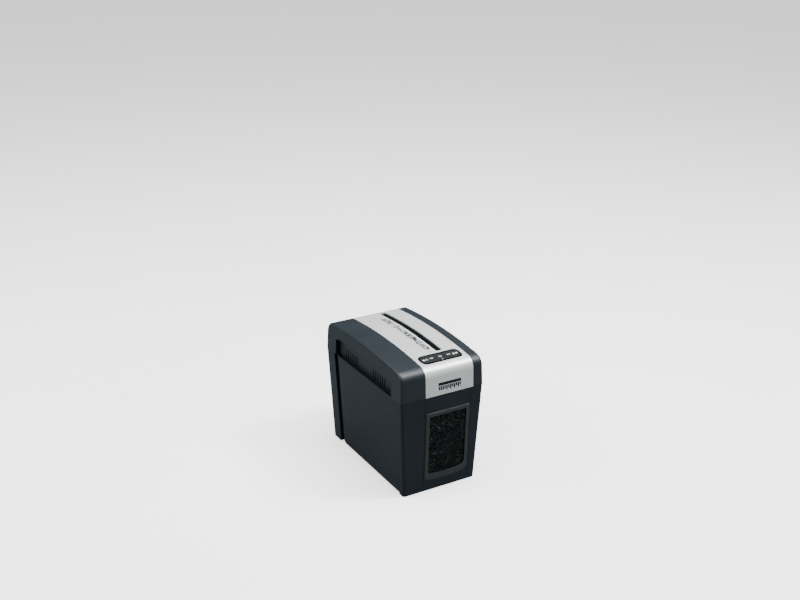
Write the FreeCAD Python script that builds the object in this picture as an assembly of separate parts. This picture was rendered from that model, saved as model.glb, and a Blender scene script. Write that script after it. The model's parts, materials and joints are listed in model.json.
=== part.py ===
import FreeCAD, Part
import math
import os

# Desk-side paper shredder: a lift-off cutting head on a tapered waste bin.
# Millimetres. X to the right seen from the front, Y to the back, Z up.
# The origin is on the floor, under the middle of the case.

# Case
caseWidth = 194.0
caseDepth = 324.0
seamZ = 217.0
crownRise = 70.2          # top of the crown above the seam
crownRadius = 1250.0
crownY = 3.0
sideLean = 2.1            # how far each head side leans in, seam to crown
frontLean = 2.4           # how far front and back of the head lean in, seam to crown
bendRadius = 23.0         # front and rear bends of the head
edgeRadius = 5.0          # round edge between the sides and the rest of the head
bottomInsetX = 11.0       # taper of the bin, each side, over the bin's height
bottomInsetY = 7.6
binCornerRadius = 6.0
seamGap = 0.4             # between the bin's rim and the head

# Head shell and metallic cover
headWall = 2.5
coverThickness = 2.4
coverRebate = 2.7         # depth of the band that the cover lies in
leftBandWidth = 56.5
rightBandWidth = 24.5
coverGap = 0.3
coverRearZ = 26.0         # lower edge of the cover at the back, above the seam

# Grip recesses and their vents
recessFromFront = 40.0
recessFromRear = 44.0
recessDepth = 10.0
recessDrop = 28.0         # from the crown down to the top of the recess
recessCorner = 11.0
ventWidth = 3.2
ventPitch = 9.5
ventsInGroup = 6
ventFromSeam = 0.6
ventHeight = 21.0
ventGroupOffset = (62.0, -56.0)

# Paper entry and throat
slotFromRight = 68.5
slotFromFront = 62.0
slotFromRear = 27.0
slotWidth = 15.0
slotCorner = 2.0
throatBottomWidth = 6.0
throatWall = 2.4

# Control panel
panelLength = 95.0
panelWidth = 33.0
panelCorner = 11.0
panelFromFront = 38.5     # middle of the panel behind the front of the case
panelRim = 3.4
panelProud = 0.7
panelLedge = 1.5          # how far the shell reaches under the panel's edge
panelSeat = 0.1
keyClearance = 0.35
keyTravel = 0.8
keyProud = 0.35
sideKeySize = (13.0, 9.0)
powerKeyRadius = 6.2
keyPitch = 20.5
keyAbovePanelMiddle = 1.0
keyStemRadius = 1.8
switchTop = -7.4          # top of the tact switches below the panel's face
lensPitch = 38.5
lensRadius = 2.6
statusDrop = 9.2
statusRadius = 1.3

# Bin
binWall = 2.6
binFloorZ = 5.0
binFloorThickness = 3.0
skirtZ = 0.8
rimWidth = 10.0
rimThickness = 3.0
grooveFromRear = 38.0     # vertical groove down each side, near the back
grooveWidth = 24.0
grooveFlat = 3.0
grooveDepth = 6.0
columnGroove = 0.9
footRadius = 7.0

# Window in the bin
bezelLeftGap = 3.0        # from the cover's left edge line
bezelWidth = 103.5
bezelTop = 36.5           # below the seam
bezelBottomZ = 23.0
bezelBorder = 8.0
bezelBottomBorder = 14.0
bezelThickness = 3.4
bezelProud = 0.8
paneDepth = 2.0
windowRightRadius = 17.0
windowLeftRadius = 9.0
windowBow = 2.5
windowClearance = 0.15

# Cutters
cutterZ = 232.0
discRadius = 19.4
hubRadius = 13.9
discThickness = 2.6
discPitch = 6.0
discNotches = 8
journalRadius = 6.0
driveEndRadius = 5.0
plateThickness = 3.0
plateGap = 3.0
runningFit = 0.05
stripperGap = 0.6

# Gears: module, small gear teeth, large gear teeth
syncModule = 2.0
syncTeeth = 17
stageOne = (0.6, 14, 66)
stageTwo = (0.8, 14, 46)
stageThree = (1.5, 14, 34)
stageOneAngle = 173.0
stageTwoAngle = 112.0
stageThreeAngle = 201.0
meshGap = 0.08            # added to each centre distance
backlash = 0.10
syncWidth = 10.0
stageThreeWidth = 9.0
stageTwoWidth = 6.0
stageOneWidth = 5.0
layerGap = 1.0
studRadius = 3.0
gearPlateThickness = 2.0

# Motor
motorRadius = 26.0
motorLength = 82.0
motorWall = 1.8
armatureRadius = 15.0
motorShaftRadius = 2.0
magnetLength = 46.0
airGap = 1.2
rotorSlots = 10
commutatorRadius = 7.0
commutatorLength = 10.0

# Chassis tray under the mechanism
trayInset = 10.8
trayFloorZ = 196.0
trayWall = 2.5
screwInset = 6.0
screwRadius = 1.8
screwHeadRadius = 3.2
bossRadius = 4.0
boardRise = 10.0
boardThickness = 1.6
boardWidth = 56.0
boardLength = 78.0
capacitorRadius = 11.0

halfWidth = caseWidth / 2
halfDepth = caseDepth / 2
crownZ = seamZ + crownRise
coverLeft = -halfWidth + leftBandWidth
coverRight = halfWidth - rightBandWidth
slotX = halfWidth - slotFromRight
slotFrontY = -halfDepth + slotFromFront
slotRearY = halfDepth - slotFromRear
slotMidY = (slotFrontY + slotRearY) / 2
slotLength = slotRearY - slotFrontY
panelX = (coverLeft + coverRight) / 2
panelY = -halfDepth + panelFromFront
frontSlope = math.degrees(math.atan2(bottomInsetY, seamZ))
syncCentres = syncModule * syncTeeth + meshGap
cutterAX = slotX - syncCentres / 2
cutterBX = slotX + syncCentres / 2
frontPlateY = slotFrontY - plateGap
rearPlateY = slotRearY + plateGap
syncLayerY = frontPlateY - plateThickness - 1.5
stageThreeY = syncLayerY - syncWidth - layerGap
stageTwoY = stageThreeY - stageThreeWidth - layerGap
stageOneY = stageTwoY - stageTwoWidth - layerGap
gearPlateY = stageOneY - stageOneWidth - layerGap
boardUnderZ = trayFloorZ + boardRise
boardTopZ = boardUnderZ + boardThickness


def vec(x, y, z):
    return FreeCAD.Vector(x, y, z)


def box(x0, x1, y0, y1, z0, z1):
    return Part.makeBox(x1 - x0, y1 - y0, z1 - z0, vec(x0, y0, z0))


def rodY(x, z, radius, y0, y1):
    """Cylinder along Y between two stations."""
    return Part.makeCylinder(radius, y1 - y0, vec(x, y0, z), vec(0, 1, 0))


def rodZ(x, y, radius, z0, z1):
    return Part.makeCylinder(radius, z1 - z0, vec(x, y, z0))


def fuseAll(shapes):
    joined = shapes[0].fuse(shapes[1:]) if len(shapes) > 1 else shapes[0]
    return joined.removeSplitter()


def group(shapes):
    return Part.makeCompound(shapes)


def roundedRectangle(x0, x1, y0, y1, radii, z=0.0):
    """Closed wire; radii in the order right-front, right-back, left-back, left-front."""
    corners = [(x1, y0), (x1, y1), (x0, y1), (x0, y0)]
    centreSigns = [(-1, 1), (-1, -1), (1, -1), (1, 1)]
    arcs = []
    for index, corner in enumerate(corners):
        radius = radii[index]
        signs = centreSigns[index]
        centre = vec(corner[0] + signs[0] * radius, corner[1] + signs[1] * radius, z)
        start = -90 + 90 * index
        points = [centre + vec(math.cos(math.radians(a)), math.sin(math.radians(a)), 0) * radius
                  for a in (start, start + 45, start + 90)]
        arcs.append(points)
    edges = []
    for index, points in enumerate(arcs):
        edges.append(Part.Arc(*points).toShape())
        following = arcs[(index + 1) % 4][0]
        if (following - points[2]).Length > 1e-6:
            edges.append(Part.LineSegment(points[2], following).toShape())
    return Part.Wire(edges)


def plate(wire, height):
    return Part.Face(wire).extrude(vec(0, 0, height))


def crownHeight(y, drop=0.0):
    """Height of the crown surface at a station along the case."""
    centreZ = crownZ - crownRadius
    return centreZ + math.sqrt((crownRadius - drop) ** 2 - (y - crownY) ** 2)


# Head ------------------------------------------------------------------

def headSolid(inset, bottomZ=None):
    """The head's outer form, shrunk on every side by the inset."""
    low = seamZ if bottomZ is None else bottomZ
    lean = frontLean / crownRise
    yLow = halfDepth - inset + (seamZ - low) * lean
    yHigh = halfDepth - inset - frontLean
    frontZ = crownHeight(-yHigh, inset)
    rearZ = crownHeight(yHigh, inset)
    crownMid = vec(0, 0, crownHeight(0, inset))
    outline = Part.Wire([
        Part.LineSegment(vec(0, -yLow, low), vec(0, -yHigh, frontZ)).toShape(),
        Part.Arc(vec(0, -yHigh, frontZ), crownMid, vec(0, yHigh, rearZ)).toShape(),
        Part.LineSegment(vec(0, yHigh, rearZ), vec(0, yLow, low)).toShape(),
        Part.LineSegment(vec(0, yLow, low), vec(0, -yLow, low)).toShape()])
    block = Part.Face(outline).extrude(vec(caseWidth, 0, 0))
    block.translate(vec(-halfWidth, 0, 0))
    bends = [e for e in block.Edges if abs(e.CenterOfMass.x) < 1 and e.CenterOfMass.z > frontZ - 3]
    block = block.makeFillet(bendRadius - inset, bends)
    xLow = halfWidth - inset + (seamZ - low) * sideLean / crownRise
    xHigh = halfWidth - inset - sideLean * 1.1
    topZ = crownZ + crownRise * 0.1
    section = Part.makePolygon([vec(-xLow, 0, low), vec(xLow, 0, low), vec(xHigh, 0, topZ),
                                vec(-xHigh, 0, topZ), vec(-xLow, 0, low)])
    wedge = Part.Face(section).extrude(vec(0, caseDepth * 2, 0))
    wedge.translate(vec(0, -caseDepth, 0))
    block = block.common(wedge)
    radius = max(edgeRadius - inset, 1.0)
    rims = [e for e in block.Edges if abs(e.CenterOfMass.x) > halfWidth - inset - sideLean - 1.5
            and e.CenterOfMass.z > low + 1]
    return block.makeFillet(radius, rims)


def recessForm(side, grow):
    """Grip recess on one side of the head, grown outwards by grow."""
    y0 = -halfDepth + recessFromFront - grow
    y1 = halfDepth - recessFromRear + grow
    drop = recessDrop - grow
    low = seamZ - 3
    outline = Part.Wire([
        Part.LineSegment(vec(0, y0, low), vec(0, y0, crownHeight(y0, drop))).toShape(),
        Part.Arc(vec(0, y0, crownHeight(y0, drop)), vec(0, 0, crownHeight(0, drop)),
                 vec(0, y1, crownHeight(y1, drop))).toShape(),
        Part.LineSegment(vec(0, y1, crownHeight(y1, drop)), vec(0, y1, low)).toShape(),
        Part.LineSegment(vec(0, y1, low), vec(0, y0, low)).toShape()])
    depth = recessDepth + grow
    form = Part.Face(outline).extrude(vec(depth + 5, 0, 0))
    corners = [e for e in form.Edges
               if abs(e.CenterOfMass.x - (depth + 5) / 2) < 0.1 and e.CenterOfMass.z > low + 5]
    form = form.makeFillet(recessCorner + grow, corners)
    form.translate(vec(-halfWidth - 5, 0, 0))
    return form if side < 0 else form.mirror(vec(0, 0, 0), vec(1, 0, 0))


def ventCuts(side):
    wallX = halfWidth - recessDepth
    cuts = []
    for offset in ventGroupOffset:
        for index in range(ventsInGroup):
            y = offset + (index - (ventsInGroup - 1) / 2) * ventPitch
            z0 = seamZ + ventFromSeam
            cuts.append(box(min(side * (wallX - headWall - 2), side * (wallX + 2)),
                            max(side * (wallX - headWall - 2), side * (wallX + 2)),
                            y - ventWidth / 2, y + ventWidth / 2, z0, z0 + ventHeight))
    return cuts


def onPanel(shape):
    """Place a shape drawn around the origin in plan on the sloping control panel."""
    tilt = math.degrees(math.asin((panelY - crownY) / crownRadius))
    shape.rotate(vec(0, 0, 0), vec(1, 0, 0), -tilt)
    shape.translate(vec(panelX, panelY, crownHeight(panelY)))
    return shape


def panelOutline(grow, z):
    half = panelLength / 2 + grow
    halfW = panelWidth / 2 + grow
    return roundedRectangle(-half, half, -halfW, halfW, [panelCorner + grow] * 4, z)


def panelPlug(grow, z0, z1):
    return onPanel(plate(panelOutline(grow, z0), z1 - z0))


def slotPlug(grow, z0, z1):
    """Straight plug through the paper slot, grown outwards all round."""
    half = slotWidth / 2 + grow
    wire = roundedRectangle(slotX - half, slotX + half, slotFrontY - grow, slotRearY + grow,
                            [slotCorner + grow] * 4, z0)
    return plate(wire, z1 - z0)


def makeHeadShell():
    outer = headSolid(0)
    band = box(coverLeft, coverRight, -caseDepth, halfDepth - 1.6 * bendRadius, seamZ - 5, crownZ + 5)
    rearBand = box(coverLeft, coverRight, 0, caseDepth, seamZ + coverRearZ, crownZ + 5)
    bandForm = band.fuse(rearBand)
    skin = outer.cut(headSolid(coverRebate, seamZ - 5))
    bandCut = skin.common(bandForm)
    wideBand = box(coverLeft - headWall, coverRight + headWall, -caseDepth, caseDepth, seamZ - 6, crownZ + 5)
    hollow = headSolid(headWall, seamZ - 5)
    deepHollow = headSolid(coverRebate + headWall, seamZ - 5)
    cavity = hollow.cut(wideBand).fuse(deepHollow)
    for side in (-1, 1):
        cavity = cavity.cut(recessForm(side, headWall))
    shell = outer.cut(bandCut).cut(cavity)
    for side in (-1, 1):
        shell = shell.cut(recessForm(side, 0))
    posts = [rodZ(x, y, bossRadius, seamZ, crownZ + 5) for x, y in screwPlaces]
    posts = group(posts).common(headSolid(headWall - 0.5, seamZ - 5))
    shell = shell.fuse(posts.Solids)
    cuts = ventCuts(-1) + ventCuts(1)
    cuts += [rodZ(x, y, screwRadius, seamZ - 5, seamZ + 8) for x, y in screwPlaces]
    cuts.append(slotPlug(throatWall + 0.5, seamZ + 30, crownZ + 5))
    cuts.append(panelPlug(-panelLedge, -20, 5))
    return shell.cut(cuts)


def makeFasciaCover():
    outer = headSolid(0)
    inner = headSolid(coverThickness, seamZ - 5)
    band = box(coverLeft + coverGap, coverRight - coverGap, -caseDepth, halfDepth - 1.6 * bendRadius,
               seamZ + coverGap, crownZ + 5)
    rearBand = box(coverLeft + coverGap, coverRight - coverGap, 0, caseDepth,
                   seamZ + coverRearZ + coverGap, crownZ + 5)
    cover = outer.cut(inner).common(band.fuse(rearBand))
    return cover.cut([slotPlug(0, seamZ + 30, crownZ + 5), panelPlug(0.25, -20, 5)])


def taperedBlock(topHalf, bottomHalf, y0, y1, z0, z1):
    """A block under the slot whose sides draw in from top to bottom."""
    corners = [vec(slotX - bottomHalf, y0, z0), vec(slotX + bottomHalf, y0, z0), vec(slotX + topHalf, y0, z1)]
    corners.append(vec(slotX - topHalf, y0, z1))
    face = Part.Face(Part.makePolygon(corners + corners[:1]))
    return face.extrude(vec(0, y1 - y0, 0))


def makeThroatGuide():
    lowZ = cutterZ + discRadius
    topHalf = slotWidth / 2
    bottomHalf = throatBottomWidth / 2
    funnel = taperedBlock(topHalf + throatWall, bottomHalf + throatWall, slotFrontY, slotRearY, lowZ, crownZ)
    hole = taperedBlock(topHalf - 0.2, bottomHalf, slotFrontY + 3, slotRearY - 3, lowZ - 1, crownZ + 1)
    limit = headSolid(coverRebate + 0.1, seamZ - 5)
    return funnel.cut(hole).common(limit)


# Control panel -----------------------------------------------------------

def keyPlaces():
    """Middle of each key on the panel's own plan: reverse, power, forward."""
    return {"reverse_key": -keyPitch, "power_key": 0.0, "forward_key": keyPitch}


def keyWire(name, grow, z):
    centre = keyPlaces()[name]
    if name == "power_key":
        return Part.Wire(Part.makeCircle(powerKeyRadius + grow, vec(centre, keyAbovePanelMiddle, z)))
    halfL = sideKeySize[0] / 2 + grow
    halfW = sideKeySize[1] / 2 + grow
    return roundedRectangle(centre - halfL, centre + halfL, keyAbovePanelMiddle - halfW,
                            keyAbovePanelMiddle + halfW, [3.0 + grow] * 4, z)


def lensPlaces():
    """Middle and radius of each light guide on the panel's own plan."""
    return {"warning_lens": (-lensPitch, 0.0, lensRadius),
            "cooling_lens": (lensPitch, 0.0, lensRadius),
            "status_lens": (0.0, -statusDrop, statusRadius)}


def makeControlBezel():
    bottom = -coverRebate + panelSeat
    ring = plate(panelOutline(0, bottom), panelProud - bottom)
    ring = ring.makeFillet(0.6, [e for e in ring.Edges if e.BoundBox.ZMin > panelProud - 0.1])
    ring = ring.cut(plate(panelOutline(-panelRim, -3.5), 5.0))
    return onPanel(ring)


def makeControlPanel():
    bottom = -coverRebate - headWall
    insert = plate(panelOutline(-panelRim - 0.1, bottom), panelProud - 0.4 - bottom)
    flange = plate(panelOutline(-panelLedge - 0.2, bottom), headWall)
    insert = insert.fuse(flange)
    for name in keyPlaces():
        insert = insert.cut(plate(keyWire(name, keyClearance, bottom - 1), 9))
    for x, y, radius in lensPlaces().values():
        insert = insert.cut(rodZ(x, y, radius, bottom - 1, 3))
    return onPanel(insert)


def makeKey(name):
    cap = plate(keyWire(name, 0, -1.6), 1.6 + panelProud - 0.4 + keyProud)
    top = panelProud - 0.4 + keyProud
    cap = cap.makeFillet(0.3, [e for e in cap.Edges if e.BoundBox.ZMin > top - 0.05])
    stemEnd = switchTop + keyTravel + 0.2
    stem = rodZ(keyPlaces()[name], keyAbovePanelMiddle, keyStemRadius, stemEnd, -1.6)
    return onPanel(cap.fuse(stem))


def makeLens(name):
    x, y, radius = lensPlaces()[name]
    return onPanel(rodZ(x, y, radius, -7.0, panelProud - 0.3))


def makeControlBoard():
    half = panelLength / 2 - 5
    board = plate(roundedRectangle(-half, half, -11, 13, [2.0] * 4, -12.2), 1.6)
    return onPanel(board)


def makeTactSwitches():
    switches = []
    for x in keyPlaces().values():
        y = keyAbovePanelMiddle
        body = box(x - 3, x + 3, y - 3, y + 3, switchTop - 3.2, switchTop - 0.6)
        switches.append(onPanel(body.fuse(rodZ(x, y, 1.6, switchTop - 0.6, switchTop))))
    return group(switches)


# Gears -------------------------------------------------------------------

def involutePoint(baseRadius, radius, turn, sign):
    roll = math.sqrt(max((radius / baseRadius) ** 2 - 1, 0))
    angle = roll - math.atan(roll)
    return vec(radius * math.cos(turn - sign * angle), radius * math.sin(turn - sign * angle), 0)


def gearBlank(module, teeth, width, toothAngle):
    """Stub-tooth involute gear drawn in plan, with a tooth centred on the given angle."""
    pitchRadius = module * teeth / 2
    baseRadius = pitchRadius * math.cos(math.radians(20))
    tipRadius = pitchRadius + 0.8 * module
    rootRadius = pitchRadius - 1.05 * module
    roll = math.sqrt((pitchRadius / baseRadius) ** 2 - 1)
    halfTooth = (math.pi * module / 2 - backlash) / (2 * pitchRadius) + roll - math.atan(roll)
    lowRadius = max(baseRadius, rootRadius + 0.02)
    midRadius = (lowRadius + tipRadius) / 2
    edges = []
    last = None
    first = None
    for index in range(teeth):
        centre = math.radians(toothAngle) + 2 * math.pi * index / teeth
        flank = (lowRadius, midRadius, tipRadius)
        up = [involutePoint(baseRadius, radius, centre - halfTooth, -1) for radius in flank]
        down = [involutePoint(baseRadius, radius, centre + halfTooth, 1) for radius in reversed(flank)]
        rootStart = vec(math.cos(centre - halfTooth), math.sin(centre - halfTooth), 0) * rootRadius
        rootEnd = vec(math.cos(centre + halfTooth), math.sin(centre + halfTooth), 0) * rootRadius
        if last is None:
            first = rootStart
        else:
            edges.append(Part.LineSegment(last, rootStart).toShape())
        edges.append(Part.LineSegment(rootStart, up[0]).toShape())
        edges.append(Part.Arc(*up).toShape())
        edges.append(Part.LineSegment(up[2], down[0]).toShape())
        edges.append(Part.Arc(*down).toShape())
        edges.append(Part.LineSegment(down[2], rootEnd).toShape())
        last = rootEnd
    edges.append(Part.LineSegment(last, first).toShape())
    return plate(Part.Wire(edges), width)


def gearAt(centre, y, module, teeth, width, toothAngle, bore):
    """Gear on an axis along Y; it grows from y towards the front."""
    gear = gearBlank(module, teeth, width, toothAngle)
    gear = gear.cut(Part.makeCylinder(bore, width + 2, vec(0, 0, -1)))
    gear.rotate(vec(0, 0, 0), vec(1, 0, 0), 90)
    gear.translate(vec(centre[0], y, centre[1]))
    return gear


def stageDistance(stage):
    return stage[0] * (stage[1] + stage[2]) / 2 + meshGap


def stepFrom(centre, distance, angle):
    return (centre[0] + distance * math.cos(math.radians(angle)),
            centre[1] + distance * math.sin(math.radians(angle)))


def gapAngle(teeth, towards):
    """Tooth angle that leaves a gap centred on the given direction."""
    return towards + 180.0 / teeth


cutterA = (cutterAX, cutterZ)
cutterB = (cutterBX, cutterZ)
idlerTwo = stepFrom(cutterA, stageDistance(stageThree), stageThreeAngle)
idlerOne = stepFrom(idlerTwo, stageDistance(stageTwo), stageTwoAngle)
motorAxis = stepFrom(idlerOne, stageDistance(stageOne), stageOneAngle)


def makeSyncGear(follower):
    centre = cutterB if follower else cutterA
    toothAngle = gapAngle(syncTeeth, 180.0) if follower else 0.0
    return gearAt(centre, syncLayerY, syncModule, syncTeeth, syncWidth, toothAngle, driveEndRadius)


def makeDriveGear():
    module, _, large = stageThree
    return gearAt(cutterA, stageThreeY, module, large, stageThreeWidth,
                  gapAngle(large, stageThreeAngle), driveEndRadius)


def makeIdler(centre, largeStage, largeY, largeWidth, largeTowards,
              smallStage, smallY, smallWidth, smallTowards):
    """Two gears moulded together: the large one is driven, the small one drives on."""
    bore = studRadius + runningFit
    large = gearAt(centre, largeY, largeStage[0], largeStage[2], largeWidth,
                   gapAngle(largeStage[2], largeTowards), bore)
    small = gearAt(centre, smallY, smallStage[0], smallStage[1], smallWidth, smallTowards, bore)
    return large.fuse(small)


def makeIdlerOne():
    return makeIdler(idlerOne, stageOne, stageOneY, stageOneWidth, stageOneAngle,
                     stageTwo, stageTwoY, stageTwoWidth + layerGap, stageTwoAngle + 180)


def makeIdlerTwo():
    return makeIdler(idlerTwo, stageTwo, stageTwoY, stageTwoWidth, stageTwoAngle,
                     stageThree, stageThreeY, stageThreeWidth + layerGap, stageThreeAngle + 180)


def makeMotorPinion():
    return gearAt(motorAxis, stageOneY + 0.5, stageOne[0], stageOne[1], stageOneWidth + 0.5,
                  stageOneAngle + 180, motorShaftRadius)


# Cutters -----------------------------------------------------------------

def discStations(offset):
    count = int((slotLength - 2 * discPitch) / discPitch)
    start = slotMidY - count * discPitch / 2 + discPitch / 4 + offset
    return [start + index * discPitch for index in range(count)]


def makeCutter(centreX, offset, driveEnd):
    """Shaft, hub and discs turned as one, then notched along its length."""
    bodyFront = frontPlateY + 1.0
    bodyRear = rearPlateY - 1.0
    shoulder = syncLayerY + 0.5
    profile = [vec(0, driveEnd, 0), vec(driveEndRadius, driveEnd, 0), vec(driveEndRadius, shoulder, 0),
               vec(journalRadius, shoulder, 0), vec(journalRadius, bodyFront, 0), vec(hubRadius, bodyFront, 0)]
    for y in discStations(offset):
        profile += [vec(hubRadius, y - discThickness / 2, 0), vec(discRadius, y - discThickness / 2, 0),
                    vec(discRadius, y + discThickness / 2, 0), vec(hubRadius, y + discThickness / 2, 0)]
    rearEnd = rearPlateY + plateThickness + 2.0
    profile += [vec(hubRadius, bodyRear, 0), vec(journalRadius, bodyRear, 0),
                vec(journalRadius, rearEnd, 0), vec(0, rearEnd, 0), vec(0, driveEnd, 0)]
    solid = Part.Face(Part.makePolygon(profile)).revolve(vec(0, 0, 0), vec(0, 1, 0), 360)
    notches = []
    for index in range(discNotches):
        tooth = Part.makePolygon([vec(discRadius - 2.6, 0, 0), vec(discRadius + 1, 0, -0.6),
                                  vec(discRadius + 1, 0, 3.4), vec(discRadius - 2.6, 0, 0)])
        notch = Part.Face(tooth).extrude(vec(0, slotLength, 0))
        notch.translate(vec(0, slotFrontY, 0))
        notch.rotate(vec(0, 0, 0), vec(0, 1, 0), 360.0 * index / discNotches)
        notches.append(notch)
    solid = solid.cut(notches)
    solid.translate(vec(centreX, 0, cutterZ))
    return solid


def makeStripper(centreX, side):
    """Comb whose fingers reach between the discs and keep paper off the hub."""
    offset = 0.0 if side < 0 else discPitch / 2
    near = hubRadius + stripperGap
    far = discRadius + 2.4
    bar = box(far, far + 4.0, frontPlateY, rearPlateY, -7.0, 7.0)
    parts = [bar]
    stations = discStations(offset)
    halfFinger = (discPitch - discThickness) / 2 - stripperGap
    for y in stations[:-1]:
        middle = y + discPitch / 2
        parts.append(box(near - 2, far + 1, middle - halfFinger, middle + halfFinger, -5.0, 5.0))
    comb = fuseAll(parts)
    comb = comb.cut(rodY(0, 0, near, frontPlateY - 1, rearPlateY + 1))
    if side < 0:
        comb = comb.mirror(vec(0, 0, 0), vec(1, 0, 0))
    comb.translate(vec(centreX, 0, cutterZ))
    return comb


# Frame of the mechanism ----------------------------------------------------

tieRodPlaces = [(cutterAX - 21, cutterZ - 16), (cutterAX - 21, cutterZ + 16),
                (cutterBX + 21, cutterZ - 16), (cutterBX + 21, cutterZ + 16)]
pillarPlaces = [(cutterBX + 8, cutterZ + 24),
                (motorAxis[0] + 4, motorAxis[1] - 26),
                (motorAxis[0] - 13, motorAxis[1])]
tieRodRadius = 4.0
pillarRadius = 3.0
bushRadius = 8.5


def makeFrontPlate():
    x0 = motorAxis[0] - motorRadius - 1
    x1 = cutterBX + 27
    body = box(x0, x1, frontPlateY - plateThickness, frontPlateY, cutterZ - 26, cutterZ + 30)
    holes = [rodY(x, cutterZ, bushRadius, frontPlateY - 9, frontPlateY + 9) for x in (cutterAX, cutterBX)]
    holes += [rodY(x, z, tieRodRadius - 1.5, frontPlateY - 9, frontPlateY + 9) for x, z in tieRodPlaces]
    holes += [rodY(x, z, pillarRadius - 1.0, frontPlateY - 9, frontPlateY + 9) for x, z in pillarPlaces]
    holes += [rodY(c[0], c[1], studRadius, frontPlateY - 9, frontPlateY + 9) for c in (idlerOne, idlerTwo)]
    holes.append(rodY(motorAxis[0], motorAxis[1], 7.0, frontPlateY - 9, frontPlateY + 9))
    return body.cut(holes)


def makeRearPlate():
    body = box(cutterAX - 27, cutterBX + 27, rearPlateY, rearPlateY + plateThickness,
               cutterZ - 26, cutterZ + 24)
    holes = [rodY(x, cutterZ, bushRadius, rearPlateY - 9, rearPlateY + 9) for x in (cutterAX, cutterBX)]
    holes += [rodY(x, z, tieRodRadius - 1.5, rearPlateY - 9, rearPlateY + 9) for x, z in tieRodPlaces]
    return body.cut(holes)


def makeTieRods():
    """Four rods with reduced ends through the plates and a nut on each end."""
    rods = []
    for x, z in tieRodPlaces:
        rod = rodY(x, z, tieRodRadius, frontPlateY, rearPlateY)
        spigot = rodY(x, z, tieRodRadius - 1.5, frontPlateY - plateThickness, rearPlateY + plateThickness)
        ends = [rodY(x, z, tieRodRadius, frontPlateY - plateThickness - 1.2, frontPlateY - plateThickness),
                rodY(x, z, tieRodRadius, rearPlateY + plateThickness, rearPlateY + plateThickness + 2.5)]
        rods.append(fuseAll([rod, spigot] + ends))
    return group(rods)


def makeBushes():
    bushes = []
    for x in (cutterAX, cutterBX):
        for y0 in (frontPlateY - plateThickness, rearPlateY):
            body = rodY(x, cutterZ, bushRadius, y0, y0 + plateThickness)
            bushes.append(body.cut(rodY(x, cutterZ, journalRadius + runningFit, y0 - 5, y0 + 9)))
    return group(bushes)


def makeGearStuds():
    studs = []
    for centre, front in ((idlerOne, gearPlateY - gearPlateThickness), (idlerTwo, stageTwoY - stageTwoWidth)):
        studs.append(rodY(centre[0], centre[1], studRadius, front, frontPlateY))
    return group(studs)


def makeGearPlate():
    x0 = motorAxis[0] - 18
    x1 = cutterBX + 14
    body = box(x0, x1, gearPlateY - gearPlateThickness, gearPlateY, cutterZ - 25, cutterZ + 29)
    holes = [rodY(x, z, pillarRadius - 1.0, gearPlateY - 9, gearPlateY + 9) for x, z in pillarPlaces]
    holes.append(rodY(idlerOne[0], idlerOne[1], studRadius, gearPlateY - 9, gearPlateY + 9))
    return body.cut(holes)


def makeGearPillars():
    pillars = []
    for x, z in pillarPlaces:
        sleeve = rodY(x, z, pillarRadius, gearPlateY, frontPlateY - plateThickness)
        core = rodY(x, z, pillarRadius - 1.0, gearPlateY - gearPlateThickness, frontPlateY)
        face = gearPlateY - gearPlateThickness
        head = rodY(x, z, pillarRadius, face - 1.6, face)
        pillars.append(fuseAll([sleeve, core, head]))
    return group(pillars)


# Motor -----------------------------------------------------------------------

def makeMotorCan():
    x, z = motorAxis
    y0 = frontPlateY
    can = rodY(x, z, motorRadius, y0, y0 + motorLength)
    can = can.makeFillet(3.0, [e for e in can.Edges if e.BoundBox.YMin > y0 + motorLength - 0.1])
    can = can.cut(rodY(x, z, motorRadius - motorWall, y0 + motorWall, y0 + motorLength - motorWall))
    holes = [rodY(x, z, motorShaftRadius + runningFit, y0 - 5, y0 + motorLength + 5)]
    return can.cut(holes)


def makeMotorMagnets():
    x, z = motorAxis
    y0 = frontPlateY + 18
    y1 = y0 + magnetLength
    ring = rodY(x, z, motorRadius - motorWall, y0, y1)
    ring = ring.cut(rodY(x, z, armatureRadius + airGap, y0 - 1, y1 + 1))
    gaps = box(x - 2 * motorRadius, x + 2 * motorRadius, y0 - 1, y1 + 1, z - 4, z + 4)
    return group(ring.cut(gaps).Solids)


def makeArmature():
    """Slotted rotor stack with its commutator; the shaft runs through it."""
    x, z = motorAxis
    y0 = frontPlateY + 20
    y1 = y0 + magnetLength - 4
    stack = rodY(x, z, armatureRadius, y0, y1)
    slots = []
    for index in range(rotorSlots):
        slot = box(-0.9, 0.9, y0 - 1, y1 + 1, armatureRadius - 6, armatureRadius + 1)
        slot.rotate(vec(0, 0, 0), vec(0, 1, 0), 360.0 / rotorSlots * index)
        slot.translate(vec(x, 0, z))
        slots.append(slot)
    commutator = rodY(x, z, commutatorRadius, y1, y1 + commutatorLength)
    rotor = stack.cut(slots).fuse(commutator)
    return rotor.cut(rodY(x, z, motorShaftRadius, y0 - 1, y1 + commutatorLength + 1))


def makeMotorShaft():
    return rodY(motorAxis[0], motorAxis[1], motorShaftRadius, stageOneY - stageOneWidth,
                frontPlateY + motorLength + 2)


# Chassis, electrics and fixings ---------------------------------------------------

def trayOutline(grow, z):
    x = halfWidth - trayInset + grow
    y = halfDepth - trayInset + grow
    return roundedRectangle(-x, x, -y, y, [4.0 + grow] * 4, z)


screwX = halfWidth - trayInset - screwInset
screwY = halfDepth - trayInset - screwInset
screwPlaces = [(sx * screwX, sy * screwY) for sx in (-1, 1) for sy in (-1, 1)]


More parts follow.
